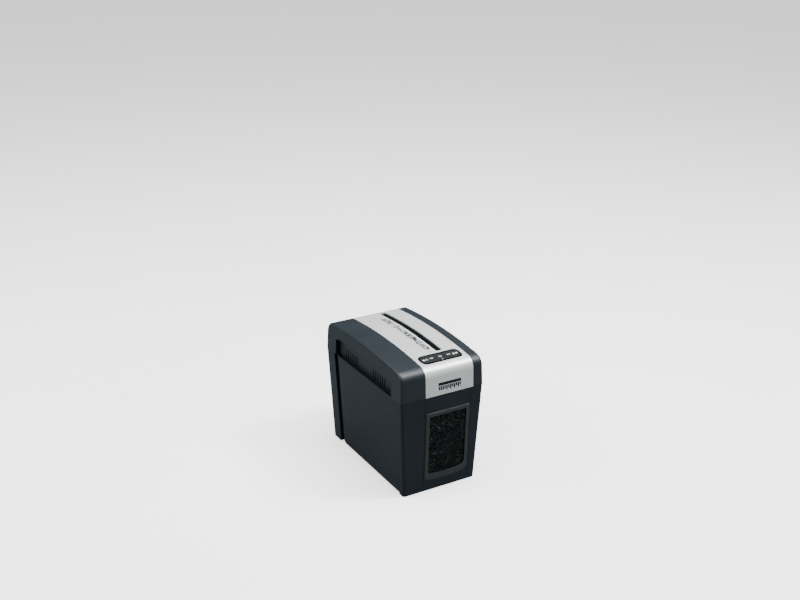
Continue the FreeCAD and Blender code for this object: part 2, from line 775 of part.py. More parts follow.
def makeHeadBase():
    """Tray that carries the mechanism; the shreds fall through its floor."""
    rimZ = seamZ
    tray = plate(trayOutline(0, trayFloorZ), rimZ - trayFloorZ)
    tray = tray.cut(plate(trayOutline(-trayWall, trayFloorZ + trayWall), rimZ))
    chute = box(cutterAX - 14, cutterBX + 14, slotFrontY + 1, slotRearY - 1,
                trayFloorZ - 1, trayFloorZ + trayWall + 1)
    tray = tray.cut(chute)
    ribs = [box(cutterAX - 16, cutterBX + 16, y - 1.5, y + 1.5, trayFloorZ + trayWall, cutterZ - 26)
            for y in (frontPlateY - plateThickness / 2, rearPlateY + plateThickness / 2)]
    bosses = [rodZ(x, y, bossRadius, trayFloorZ, rimZ) for x, y in screwPlaces]
    tray = tray.fuse(ribs + bosses)
    return tray.cut([rodZ(x, y, screwRadius, trayFloorZ - 1, rimZ + 1) for x, y in screwPlaces])


def makeHeadScrews():
    screws = []
    for x, y in screwPlaces:
        shank = rodZ(x, y, screwRadius, trayFloorZ, seamZ + 6)
        head = rodZ(x, y, screwHeadRadius, trayFloorZ - 2.0, trayFloorZ)
        screws.append(shank.fuse(head))
    return group(screws)


def makePowerBoard():
    x0 = -halfWidth + 16
    y0 = halfDepth - 110
    board = box(x0, x0 + boardWidth, y0, y0 + boardLength, boardUnderZ, boardTopZ)
    posts = [rodZ(x, y, 2.5, trayFloorZ + trayWall, boardUnderZ)
             for x in (x0 + 5, x0 + boardWidth - 5) for y in (y0 + 5, y0 + boardLength - 5)]
    return board, group(posts)


def makeCapacitor():
    y0 = halfDepth - 96
    return rodY(-halfWidth + 34, boardTopZ + capacitorRadius, capacitorRadius, y0, y0 + 34)


def makeTransformer():
    y0 = halfDepth - 100
    core = box(-halfWidth + 48, -halfWidth + 68, y0 + 4, y0 + 24, boardTopZ, boardTopZ + 19.4)
    winding = box(-halfWidth + 45.5, -halfWidth + 70.5, y0 + 8, y0 + 20, boardTopZ + 2.4, boardTopZ + 16.4)
    return core.fuse(winding)


glandX = -halfWidth + 30
glandZ = seamZ + 15
glandRadius = 5.6
glandLength = 8.0
leadRadius = 3.4
interlockX = halfWidth - 16.5
interlockY = -halfDepth + 7.2      # on the bin's rim flange, ahead of the tray


def makeInterlockSwitch():
    """Micro-switch in the head; it is pressed by the bin's tab."""
    return box(interlockX - 4, interlockX + 4, interlockY - 3, interlockY + 3, seamZ + 5.2, seamZ + 18)


def makeInterlockTab():
    """Upright tab on the bin's rim flange, under the switch."""
    return box(interlockX - 2.0, interlockX + 2.0, interlockY - 2.0, interlockY + 2.0,
               seamZ - seamGap, seamZ + 4.6)


def makePaperSensor():
    x0 = slotX + slotWidth / 2 + throatWall + 1.5
    return box(x0, x0 + 8, slotMidY - 6, slotMidY + 6, crownZ - 24, crownZ - 12)


def makeCableGland():
    """Plain bush in the back of the head, where a mains lead would come in."""
    y1 = halfDepth - 0.2
    sleeve = rodY(glandX, glandZ, glandRadius, y1 - glandLength, y1)
    flange = rodY(glandX, glandZ, glandRadius + 2.0, y1 - glandLength, y1 - headWall - 1.2)
    return sleeve.fuse(flange).cut(rodY(glandX, glandZ, leadRadius, y1 - glandLength - 1, y1 + 1))


def glandHole():
    return rodY(glandX, glandZ, glandRadius + 0.2, halfDepth - 12, halfDepth + 5)


# Bin -----------------------------------------------------------------------------

def binSolid(inset, lowZ, highZ):
    """Tapered body of the bin between two heights, shrunk by the inset."""
    wires = []
    for z in (lowZ, highZ):
        share = 1 - z / seamZ
        x = halfWidth - inset - bottomInsetX * share
        y = halfDepth - inset - bottomInsetY * share
        radius = max(binCornerRadius - inset, 1.0)
        wires.append(roundedRectangle(-x, x, -y, y, [radius] * 4, z))
    return Part.makeLoft(wires, True, True)


def grooveForm(side, grow):
    """Vertical groove: a square step at the back and a hollow ramp that eases out towards the front."""
    depth = grooveDepth + grow
    outside = halfWidth + 4
    wires = []
    for z, inset in ((-5, bottomInsetX * (1 + 5 / seamZ)), (seamZ + 5, -bottomInsetX * 5 / seamZ)):
        x = halfWidth - inset
        yBack = halfDepth - grooveFromRear + grow - 0.4 * inset
        yFlat = yBack - grooveFlat - 2 * grow
        yEnd = yFlat - grooveWidth
        back = vec(side * outside, yBack, z)
        step = vec(side * (x - depth), yBack, z)
        low = vec(side * (x - depth), yFlat, z)
        ramp = vec(side * (x - depth * 0.36), yFlat - grooveWidth * 0.42, z)
        end = vec(side * (x + 0.5), yEnd, z)
        front = vec(side * outside, yEnd, z)
        wires.append(Part.Wire([Part.LineSegment(back, step).toShape(), Part.LineSegment(step, low).toShape(),
                                Part.Arc(low, ramp, end).toShape(), Part.LineSegment(end, front).toShape(),
                                Part.LineSegment(front, back).toShape()]))
    form = Part.makeLoft(wires, True, True)
    if form.Volume < 0:
        form.reverse()
    return form


def onFront(shape):
    """Stand a shape drawn in plan on the sloping front wall; plan Y becomes height, plan Z points out."""
    shape.rotate(vec(0, 0, 0), vec(1, 0, 0), 90 + frontSlope)
    shape.translate(vec(0, -halfDepth + bottomInsetY, 0))
    return shape


def windowOutline(shrinkSide, shrinkTop, shrinkBottom, rightRadius, leftRadius, z):
    """Square at the top, well rounded at the lower right, with a bowed lower edge."""
    x0 = coverLeft + bezelLeftGap + shrinkSide
    x1 = coverLeft + bezelLeftGap + bezelWidth - shrinkSide
    y0 = bezelBottomZ + shrinkBottom
    y1 = seamZ - bezelTop - shrinkTop
    bow = windowBow
    topRadius = 2.0
    kink = math.sin(math.radians(45))
    edges = [
        Part.Arc(vec(x0, y0 + leftRadius + bow, z),
                 vec(x0 + leftRadius * (1 - kink), y0 + bow + leftRadius * (1 - kink), z),
                 vec(x0 + leftRadius, y0 + bow, z)).toShape(),
        Part.Arc(vec(x0 + leftRadius, y0 + bow, z), vec((x0 + x1) / 2, y0, z),
                 vec(x1 - rightRadius, y0 + bow, z)).toShape(),
        Part.Arc(vec(x1 - rightRadius, y0 + bow, z),
                 vec(x1 - rightRadius * (1 - kink), y0 + bow + rightRadius * (1 - kink), z),
                 vec(x1, y0 + rightRadius + bow, z)).toShape(),
        Part.LineSegment(vec(x1, y0 + rightRadius + bow, z), vec(x1, y1 - topRadius, z)).toShape(),
        Part.Arc(vec(x1, y1 - topRadius, z), vec(x1 - topRadius * (1 - kink), y1 - topRadius * (1 - kink), z),
                 vec(x1 - topRadius, y1, z)).toShape(),
        Part.LineSegment(vec(x1 - topRadius, y1, z), vec(x0 + topRadius, y1, z)).toShape(),
        Part.Arc(vec(x0 + topRadius, y1, z), vec(x0 + topRadius * (1 - kink), y1 - topRadius * (1 - kink), z),
                 vec(x0, y1 - topRadius, z)).toShape(),
        Part.LineSegment(vec(x0, y1 - topRadius, z), vec(x0, y0 + leftRadius + bow, z)).toShape()]
    return Part.Wire(edges)


def makeBinShell():
    outer = binSolid(0, skirtZ, seamZ - seamGap)
    for side in (-1, 1):
        outer = outer.cut(grooveForm(side, 0))
    inner = binSolid(binWall, binFloorZ + binFloorThickness, seamZ - seamGap - rimThickness)
    for side in (-1, 1):
        inner = inner.cut(grooveForm(side, binWall))
    mouth = binSolid(rimWidth, seamZ - 20, seamZ)
    below = binSolid(binWall, -1, binFloorZ)
    for side in (-1, 1):
        below = below.cut(grooveForm(side, binWall))
    # under the grip recesses the rim has no flange, so that fingers can reach in
    gripRow = box(-caseWidth, caseWidth, -halfDepth + recessFromFront, halfDepth - recessFromRear,
                  seamZ - 20, seamZ + 1)
    gripMouth = binSolid(binWall, seamZ - 20, seamZ).common(gripRow)
    for side in (-1, 1):
        gripMouth = gripMouth.cut(grooveForm(side, binWall))
    shell = outer.cut(inner).cut(mouth).cut(gripMouth).cut(below)
    sideGap = box(-caseWidth, caseWidth, -halfDepth + 24, halfDepth - grooveFromRear - 3, -1, binFloorZ)
    shell = shell.cut(sideGap)
    opening = onFront(plate(windowOutline(-windowClearance, -windowClearance, -windowClearance,
                                          windowRightRadius, windowLeftRadius, -12), 24))
    shell = shell.cut(opening)
    lines = []
    for x in (coverLeft + 1.0, coverRight - 5.0):
        lines.append(onFront(box(x - columnGroove / 2, x + columnGroove / 2, 8, seamZ + 5, -columnGroove, 5)))
    shell = shell.cut(lines)
    pads = [rodZ(x, y, footRadius - 2, binFloorZ - 0.1, binFloorZ + 0.2) for x, y in footPlaces()]
    return shell.cut(pads)


def footPlaces():
    x = halfWidth - bottomInsetX - footRadius - 4
    return [(sx * x, y) for sx in (-1, 1)
            for y in (-halfDepth + bottomInsetY + footRadius + 4, halfDepth - bottomInsetY - footRadius - 5)]


def makeFeet():
    feet = []
    for x, y in footPlaces():
        pad = rodZ(x, y, footRadius, 0, binFloorZ - 0.1)
        pad = pad.makeFillet(0.8, [e for e in pad.Edges if e.BoundBox.ZMax < 0.1])
        feet.append(pad.fuse(rodZ(x, y, footRadius - 2, binFloorZ - 0.2, binFloorZ + 0.2)))
    return group(feet)


def makeWindowBezel():
    outline = windowOutline(0, 0, 0, windowRightRadius, windowLeftRadius, -bezelThickness + bezelProud)
    frame = plate(outline, bezelThickness)
    frame = frame.makeFillet(0.7, [e for e in frame.Edges if e.BoundBox.ZMin > bezelProud - 0.05])
    hole = plate(windowOutline(bezelBorder, bezelBorder, bezelBottomBorder, windowRightRadius - 3,
                               windowLeftRadius - 4, -9), 18)
    frame = frame.cut(hole)
    seatOutline = windowOutline(bezelBorder - 2, bezelBorder - 2, bezelBottomBorder - 2, windowRightRadius - 1,
                                windowLeftRadius - 2, -bezelThickness + bezelProud - 1)
    seat = plate(seatOutline, 1 + bezelThickness - paneDepth)
    return onFront(frame.cut(seat))


def makeWindowPane():
    low = -bezelThickness + bezelProud
    outline = windowOutline(bezelBorder - 1.8, bezelBorder - 1.8, bezelBottomBorder - 1.8,
                            windowRightRadius - 1.2, windowLeftRadius - 2.2, low)
    return onFront(plate(outline, bezelThickness - paneDepth - 0.05))


def makeAll():
    headShell = makeHeadShell().cut(glandHole())
    board, posts = makePowerBoard()
    nodes = {
        "bin_shell": makeBinShell(),
        "window_bezel": makeWindowBezel(),
        "window_pane": makeWindowPane(),
        "rubber_feet": makeFeet(),
        "interlock_tab": makeInterlockTab(),
        "head_shell": headShell,
        "fascia_cover": makeFasciaCover(),
        "throat_guide": makeThroatGuide(),
        "control_bezel": makeControlBezel(),
        "control_panel": makeControlPanel(),
        "control_board": makeControlBoard(),
        "tact_switches": makeTactSwitches(),
        "sync_gear_a": makeSyncGear(False),
        "sync_gear_b": makeSyncGear(True),
        "drive_gear": makeDriveGear(),
        "idler_one": makeIdlerOne(),
        "idler_two": makeIdlerTwo(),
        "motor_pinion": makeMotorPinion(),
        "cutter_a": makeCutter(cutterAX, 0.0, stageThreeY - stageThreeWidth),
        "cutter_b": makeCutter(cutterBX, discPitch / 2, syncLayerY - syncWidth),
        "stripper_left": makeStripper(cutterAX, -1),
        "stripper_right": makeStripper(cutterBX, 1),
        "front_plate": makeFrontPlate(),
        "rear_plate": makeRearPlate(),
        "tie_rods": makeTieRods(),
        "cutter_bushes": makeBushes(),
        "gear_studs": makeGearStuds(),
        "gear_plate": makeGearPlate(),
        "gear_pillars": makeGearPillars(),
        "motor_can": makeMotorCan(),
        "motor_magnets": makeMotorMagnets(),
        "motor_armature": makeArmature(),
        "motor_shaft": makeMotorShaft(),
        "head_base": makeHeadBase(),
        "head_screws": makeHeadScrews(),
        "power_board": board,
        "board_posts": posts,
        "run_capacitor": makeCapacitor(),
        "board_transformer": makeTransformer(),
        "interlock_switch": makeInterlockSwitch(),
        "paper_sensor": makePaperSensor(),
        "cable_gland": makeCableGland()}
    for name in keyPlaces():
        nodes[name] = makeKey(name)
    for name in lensPlaces():
        nodes[name] = makeLens(name)
    return nodes


os.makedirs("parts", exist_ok=True)
for name, shape in makeAll().items():
    solids = shape.Solids
    kept = solids[0] if len(solids) == 1 else Part.makeCompound(solids)
    kept.exportStep("parts/" + name + ".step")
    size = kept.BoundBox
    print("%-18s solids %2d  x %7.1f %7.1f  y %7.1f %7.1f  z %6.1f %6.1f  volume %9.0f  valid %s" % (
        name, len(solids), size.XMin, size.XMax, size.YMin, size.YMax, size.ZMin, size.ZMax,
        kept.Volume, kept.isValid()))
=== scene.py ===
import json
import math

import bmesh
import bpy
from mathutils import Matrix, Vector, noise
from mathutils.bvhtree import BVHTree


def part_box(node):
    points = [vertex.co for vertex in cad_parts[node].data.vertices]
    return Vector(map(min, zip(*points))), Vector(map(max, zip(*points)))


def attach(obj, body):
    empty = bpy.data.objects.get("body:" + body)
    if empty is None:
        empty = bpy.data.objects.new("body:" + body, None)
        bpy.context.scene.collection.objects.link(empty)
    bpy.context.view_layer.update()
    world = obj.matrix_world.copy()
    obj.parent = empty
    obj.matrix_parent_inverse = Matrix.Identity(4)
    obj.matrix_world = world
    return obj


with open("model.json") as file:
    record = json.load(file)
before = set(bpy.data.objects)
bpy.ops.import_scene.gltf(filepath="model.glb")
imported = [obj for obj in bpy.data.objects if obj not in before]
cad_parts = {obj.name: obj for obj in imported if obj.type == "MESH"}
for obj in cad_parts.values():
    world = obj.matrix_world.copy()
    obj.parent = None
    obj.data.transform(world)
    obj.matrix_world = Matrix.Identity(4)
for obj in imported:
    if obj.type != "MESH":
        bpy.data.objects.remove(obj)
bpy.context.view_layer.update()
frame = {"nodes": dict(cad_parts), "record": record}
millimetre = 0.001
perMetre = 1000.0     # divided by a size in millimetres, it gives a pattern's scale
scene = bpy.context.scene


# colours and nodes
def linearColour(hexColour):
    channels = []
    for start in (1, 3, 5):
        value = int(hexColour[start:start + 2], 16) / 255
        channels.append(value / 12.92 if value <= 0.04045 else ((value + 0.055) / 1.055) ** 2.4)
    return (*channels, 1.0)


def addNode(tree, kind, settings=None, values=None, links=None):
    node = tree.nodes.new(kind)
    for name, value in (settings or {}).items():
        setattr(node, name, value)
    for name, value in (values or {}).items():
        node.inputs[name].default_value = value
    for name, socket in (links or {}).items():
        tree.links.new(socket, node.inputs[name])
    return node


def startMaterial(name):
    material = bpy.data.materials.new(name)
    material.use_nodes = True
    tree = material.node_tree
    tree.nodes.clear()
    coordinates = addNode(tree, "ShaderNodeTexCoord")
    return material, tree, coordinates.outputs["Object"]


noiseRange = {"From Min": 0.3, "From Max": 0.7}     # where most of a noise field lies
softNoise = {"Roughness": 0.55}
# a Mix node for colours takes its factor at socket 0 and its colours at 6 and 7, and gives the result at 2


# plastics: a grain that dulls and roughens the skin, and a wide mottle in its colour
def mouldedPlastic(name, darkHex, lightHex, roughness, grainMm=0.9, grainHeight=0.05, grainStrength=0.35,
                   mottleMm=60.0, ior=1.53, spread=0.05, sheen=0.5):
    material, tree, place = startMaterial(name)
    grain = addNode(tree, "ShaderNodeTexNoise",
                    values={"Scale": perMetre / grainMm, "Detail": 2.0, **softNoise},
                    links={"Vector": place}).outputs["Fac"]
    mottle = addNode(tree, "ShaderNodeTexNoise",
                     values={"Scale": perMetre / mottleMm, "Detail": 5.0, **softNoise},
                     links={"Vector": place}).outputs["Fac"]
    shade = addNode(tree, "ShaderNodeMapRange", values=noiseRange, links={"Value": mottle}).outputs["Result"]
    colour = addNode(tree, "ShaderNodeMix", settings={"data_type": "RGBA"},
                     values={6: linearColour(darkHex), 7: linearColour(lightHex)},
                     links={0: shade}).outputs[2]
    gloss = addNode(tree, "ShaderNodeMapRange",
                    values={**noiseRange, "To Min": roughness - spread, "To Max": roughness + spread},
                    links={"Value": grain}).outputs["Result"]
    relief = addNode(tree, "ShaderNodeBump",
                     values={"Strength": grainStrength, "Distance": grainHeight * millimetre},
                     links={"Height": grain}).outputs["Normal"]
    shader = addNode(tree, "ShaderNodeBsdfPrincipled", values={"IOR": ior, "Specular IOR Level": sheen},
                     links={"Base Color": colour, "Roughness": gloss, "Normal": relief})
    addNode(tree, "ShaderNodeOutputMaterial", links={"Surface": shader.outputs["BSDF"]})
    return material


def clearPlastic(name, darkHex, lightHex, roughness, ior=1.49, transmission=1.0, glow=0.0, sheen=0.5,
                 smearMm=14.0, smearDulls=0.06):
    material, tree, place = startMaterial(name)
    smear = addNode(tree, "ShaderNodeTexNoise",
                    values={"Scale": perMetre / smearMm, "Detail": 4.0, **softNoise},
                    links={"Vector": place}).outputs["Fac"]
    shade = addNode(tree, "ShaderNodeMapRange", values=noiseRange, links={"Value": smear}).outputs["Result"]
    colour = addNode(tree, "ShaderNodeMix", settings={"data_type": "RGBA"},
                     values={6: linearColour(darkHex), 7: linearColour(lightHex)},
                     links={0: shade}).outputs[2]
    gloss = addNode(tree, "ShaderNodeMapRange",
                    values={**noiseRange, "To Min": roughness, "To Max": roughness + smearDulls},
                    links={"Value": smear}).outputs["Result"]
    shader = addNode(tree, "ShaderNodeBsdfPrincipled",
                     values={"IOR": ior, "Transmission Weight": transmission, "Specular IOR Level": sheen,
                             "Emission Color": linearColour("#ffffff"), "Emission Strength": glow},
                     links={"Base Color": colour, "Roughness": gloss})
    addNode(tree, "ShaderNodeOutputMaterial", links={"Surface": shader.outputs["BSDF"]})
    return material


# metals: a grain stretched along the way the tool or the draw ran, and soft blotches
def machinedMetal(name, darkHex, lightHex, roughness, grainMm, stretch, grainHeight=0.02, spread=0.08,
                  blotchMm=12.0):
    material, tree, place = startMaterial(name)
    along = addNode(tree, "ShaderNodeMapping",
                    values={"Scale": stretch}, links={"Vector": place}).outputs["Vector"]
    grain = addNode(tree, "ShaderNodeTexNoise",
                    values={"Scale": perMetre / grainMm, "Detail": 3.0, **softNoise},
                    links={"Vector": along}).outputs["Fac"]
    blotch = addNode(tree, "ShaderNodeTexNoise",
                     values={"Scale": perMetre / blotchMm, "Detail": 4.0, **softNoise},
                     links={"Vector": place}).outputs["Fac"]
    shade = addNode(tree, "ShaderNodeMapRange", values=noiseRange, links={"Value": blotch}).outputs["Result"]
    colour = addNode(tree, "ShaderNodeMix", settings={"data_type": "RGBA"},
                     values={6: linearColour(darkHex), 7: linearColour(lightHex)},
                     links={0: shade}).outputs[2]
    gloss = addNode(tree, "ShaderNodeMapRange",
                    values={**noiseRange, "To Min": roughness - spread, "To Max": roughness + spread},
                    links={"Value": grain}).outputs["Result"]
    relief = addNode(tree, "ShaderNodeBump", values={"Strength": 0.4, "Distance": grainHeight * millimetre},
                     links={"Height": grain}).outputs["Normal"]
    shader = addNode(tree, "ShaderNodeBsdfPrincipled", values={"Metallic": 1.0},
                     links={"Base Color": colour, "Roughness": gloss, "Normal": relief})
    addNode(tree, "ShaderNodeOutputMaterial", links={"Surface": shader.outputs["BSDF"]})
    return material


# silver lacquer on plastic; its flakes are drawn ten times too big so that they show
lacquer = {
    "darkHex": "#aeb1b0", "lightHex": "#d0d2d1", "flakeMm": 0.5, "orangePeelMm": 3.0, "cloudMm": 50.0,
    "metallic": 0.4, "coat": 0.2, "coatRoughness": 0.3, "glossiest": 0.34, "dullest": 0.46,
}


def metallicLacquer():
    material, tree, place = startMaterial("metallicLacquer")
    flake = addNode(tree, "ShaderNodeTexVoronoi", values={"Scale": perMetre / lacquer["flakeMm"]},
                    links={"Vector": place}).outputs["Distance"]
    peel = addNode(tree, "ShaderNodeTexNoise",
                   values={"Scale": perMetre / lacquer["orangePeelMm"], "Detail": 1.0, **softNoise},
                   links={"Vector": place}).outputs["Fac"]
    cloud = addNode(tree, "ShaderNodeTexNoise",
                    values={"Scale": perMetre / lacquer["cloudMm"], "Detail": 4.0, **softNoise},
                    links={"Vector": place}).outputs["Fac"]
    speck = addNode(tree, "ShaderNodeMapRange", values={"From Min": 0.0, "From Max": 1.0, "To Max": 0.6},
                    links={"Value": flake}).outputs["Result"]
    tone = addNode(tree, "ShaderNodeMath", settings={"operation": "MULTIPLY_ADD"},
                   values={1: 0.4}, links={0: cloud, 2: speck}).outputs[0]
    shade = addNode(tree, "ShaderNodeMapRange", values={"From Min": 0.1, "From Max": 0.7},
                    links={"Value": tone}).outputs["Result"]
    colour = addNode(tree, "ShaderNodeMix", settings={"data_type": "RGBA"},
                     values={6: linearColour(lacquer["darkHex"]), 7: linearColour(lacquer["lightHex"])},
                     links={0: shade}).outputs[2]
    gloss = addNode(tree, "ShaderNodeMapRange",
                    values={**noiseRange, "To Min": lacquer["glossiest"], "To Max": lacquer["dullest"]},
                    links={"Value": flake}).outputs["Result"]
    relief = addNode(tree, "ShaderNodeBump", values={"Strength": 0.15, "Distance": 0.03 * millimetre},
                     links={"Height": peel}).outputs["Normal"]
    shader = addNode(tree, "ShaderNodeBsdfPrincipled",
                     values={"Metallic": lacquer["metallic"], "Coat Weight": lacquer["coat"],
                             "Coat Roughness": lacquer["coatRoughness"]},
                     links={"Base Color": colour, "Roughness": gloss, "Normal": relief})
    addNode(tree, "ShaderNodeOutputMaterial", links={"Surface": shader.outputs["BSDF"]})
    return material


def solderMaskBoard():
    material, tree, place = startMaterial("solderMaskBoard")
    tracks = addNode(tree, "ShaderNodeTexBrick",
                     values={"Scale": perMetre / 14.0, "Mortar Size": 0.08, "Color1": linearColour("#1c5a34"),
                             "Color2": linearColour("#1f6239"), "Mortar": linearColour("#3c8a55")},
                     links={"Vector": place})
    weave = addNode(tree, "ShaderNodeTexNoise", values={"Scale": perMetre / 0.8, "Detail": 3.0, **softNoise},
                    links={"Vector": place}).outputs["Fac"]
    gloss = addNode(tree, "ShaderNodeMapRange", values={**noiseRange, "To Min": 0.28, "To Max": 0.42},
                    links={"Value": weave}).outputs["Result"]
    relief = addNode(tree, "ShaderNodeBump", values={"Strength": 0.3, "Distance": 0.03 * millimetre},
                     links={"Height": weave}).outputs["Normal"]
    shader = addNode(tree, "ShaderNodeBsdfPrincipled", values={"IOR": 1.55},
                     links={"Base Color": tracks.outputs["Color"], "Roughness": gloss, "Normal": relief})
    addNode(tree, "ShaderNodeOutputMaterial", links={"Surface": shader.outputs["BSDF"]})
    return material


# each strip carries its own tone, and small print breaks it up, so most are dark with a few white ends; this
# near-black is partly print and partly painted shade deep in the heap
scraps = {"printMm": 2.4, "printWeight": 0.5, "inkAndShadeUpTo": 1.06, "whiteFrom": 1.2, "fibreMm": 0.6}


def shreddedPaper():
    material, tree, place = startMaterial("shreddedPaper")
    tone = addNode(tree, "ShaderNodeAttribute", settings={"attribute_name": "tone"}).outputs["Fac"]
    fibre = addNode(tree, "ShaderNodeTexNoise",
                    values={"Scale": perMetre / scraps["fibreMm"], "Detail": 4.0, **softNoise},
                    links={"Vector": place}).outputs["Fac"]
    printed = addNode(tree, "ShaderNodeTexNoise",
                      values={"Scale": perMetre / scraps["printMm"], "Detail": 1.0, **softNoise},
                      links={"Vector": place}).outputs["Fac"]
    mixed = addNode(tree, "ShaderNodeMath", settings={"operation": "MULTIPLY_ADD"},
                    values={1: scraps["printWeight"]}, links={0: printed, 2: tone}).outputs[0]
    shade = addNode(tree, "ShaderNodeMapRange",
                    values={"From Min": scraps["inkAndShadeUpTo"], "From Max": scraps["whiteFrom"]},
                    links={"Value": mixed}).outputs["Result"]
    # the near-black end is print and also painted shade between the few white strips
    colour = addNode(tree, "ShaderNodeMix", settings={"data_type": "RGBA"},
                     values={6: linearColour("#030404"), 7: linearColour("#fbfaf6")},
                     links={0: shade}).outputs[2]
    gloss = addNode(tree, "ShaderNodeMapRange", values={**noiseRange, "To Min": 0.8, "To Max": 0.95},
                    links={"Value": fibre}).outputs["Result"]
    relief = addNode(tree, "ShaderNodeBump", values={"Strength": 0.5, "Distance": 0.05 * millimetre},
                     links={"Height": fibre}).outputs["Normal"]
    shader = addNode(tree, "ShaderNodeBsdfPrincipled", values={"IOR": 1.5},
                     links={"Base Color": colour, "Roughness": gloss, "Normal": relief})
    addNode(tree, "ShaderNodeOutputMaterial", links={"Surface": shader.outputs["BSDF"]})
    return material


# mould grain, tool lines and weave are near 0.1 mm on the real thing; all are drawn coarser so that they show
def materialsBySlot():
    return {
        # satin blue-black with a fine spark-eroded grain, a little chalky where light grazes it
        "black_abs": mouldedPlastic("mouldedAbsBlack", "#10171c", "#151d23", 0.46, grainMm=0.8, sheen=0.35),
        # the same grain, slightly bluer and deeper than the head
        "bin_abs": mouldedPlastic("mouldedAbsBin", "#0b131b", "#0f1821", 0.44, grainMm=0.9, sheen=0.25),
        # bright silver lacquer with fine flake under a soft clear coat
        "silver_paint": metallicLacquer(),
        # dark see-through pane with a faint smear; its IOR is low so that little of the floor shows in it
        "smoked_window": clearPlastic("smokedAcrylic", "#73797d", "#7c8286", 0.015, ior=1.22, sheen=0.12),
        # finer, slightly glossier frame
        "bezel_abs": mouldedPlastic("frameAbs", "#13191b", "#191f21", 0.4, grainMm=0.6),
        # dark grey panel with a soft sheen
        "panel_grey": mouldedPlastic("panelAbs", "#101315", "#14181a", 0.55, grainMm=0.5, grainHeight=0.03,
                                     sheen=0.2),
        # keys a shade lighter than the panel round them
        "key_plastic": mouldedPlastic("keyAbs", "#1d2224", "#22282a", 0.5, grainMm=0.45, grainHeight=0.02,
                                      sheen=0.25),
        # milky light guides, faintly lit
        "lens_plastic": clearPlastic("lightGuideAcrylic", "#d8dad6", "#eceeea", 0.2, transmission=0.5,
                                     glow=0.25),
        # matt rubber with dusty patches
        "rubber": mouldedPlastic("mouldedRubber", "#121213", "#1b1b1c", 0.78, grainMm=0.7, mottleMm=9.0,
                                 ior=1.52),
        # bright ground edges with fine lines round the discs
        "cutter_steel": machinedMetal("groundToolSteel", "#9b9c9d", "#b9babb", 0.28, 0.5, (1.0, 6.0, 1.0)),
        # cool bluish plating with drawn streaks
        "plate_steel": machinedMetal("zincPlatedSteel", "#a9adb2", "#c3c7cb", 0.34, 1.2, (1.0, 1.0, 0.15)),
        # warm, porous and slightly oily
        "bronze": machinedMetal("sinteredBronze", "#8c6a3c", "#a98250", 0.42, 0.25, (1.0, 1.0, 1.0), 0.05),
        # creamy, slightly waxy gears
        "gear_nylon": mouldedPlastic("mouldedNylon", "#cfccbf", "#dedbcf", 0.38, grainMm=0.5,
                                     grainHeight=0.02),
        # dark grey and stony
        "magnet": mouldedPlastic("ferrite", "#232426", "#2f3032", 0.6, grainMm=0.4, mottleMm=4.0, ior=2.2),
        # green mask with lighter tracks under it
        "board": solderMaskBoard(),
        # plain dark moulded bodies
        "component": mouldedPlastic("componentPlastic", "#1a1b1d", "#26272a", 0.5, grainMm=0.3, mottleMm=6.0),
        # satin drawn can with long streaks
        "capacitor_can": machinedMetal("drawnAluminium", "#b4b6b8", "#cccdce", 0.3, 0.8, (1.0, 0.1, 1.0)),
    }


slotMaterials = materialsBySlot()
for part in frame["record"]["subparts"]:
    mesh = frame["nodes"][part["node"]].data
    if not mesh.materials:
        mesh.materials.append(None)
    for index in range(len(mesh.materials)):
        mesh.materials[index] = slotMaterials[part["material_slot"]]
# near-black surround that sets the panel off from the lacquer
surround = mouldedPlastic("surroundAbs", "#020303", "#040505", 0.5, grainMm=0.6, grainHeight=0.02, sheen=0.05)
frame["nodes"]["control_bezel"].data.materials[0] = surround


# shreds in the bin: a lumpy heap, with loose strips over it
shreds = {
    "heapTopMm": 158.0, "heapBaseMm": 9.0, "hollowMm": 14.0, "lumpMm": 4.0,
    "sideGapMm": 11.0, "frontGapMm": 7.0, "rearGapMm": 11.0,
    "drawInXMm": 11.0, "drawInYMm": 7.6,     # how much narrower each half of the bin is at its floor
    "crownX": 1.3, "crownY": 1.1, "bowX": 0.03, "bowY": 0.01, "heapCuts": 30,
    "lumpsPerMetre": 90.0, "crumbsPerMetre": 260.0, "lumpShare": 0.6,
    "stripLengthMm": 12.0, "stripWidthMm": 2.4, "stripLiftMm": 5.0, "shortest": 0.55, "longest": 1.15,
    "perSquareMetre": 95000.0, "seed": 11, "tiltDegrees": 38.0,
}


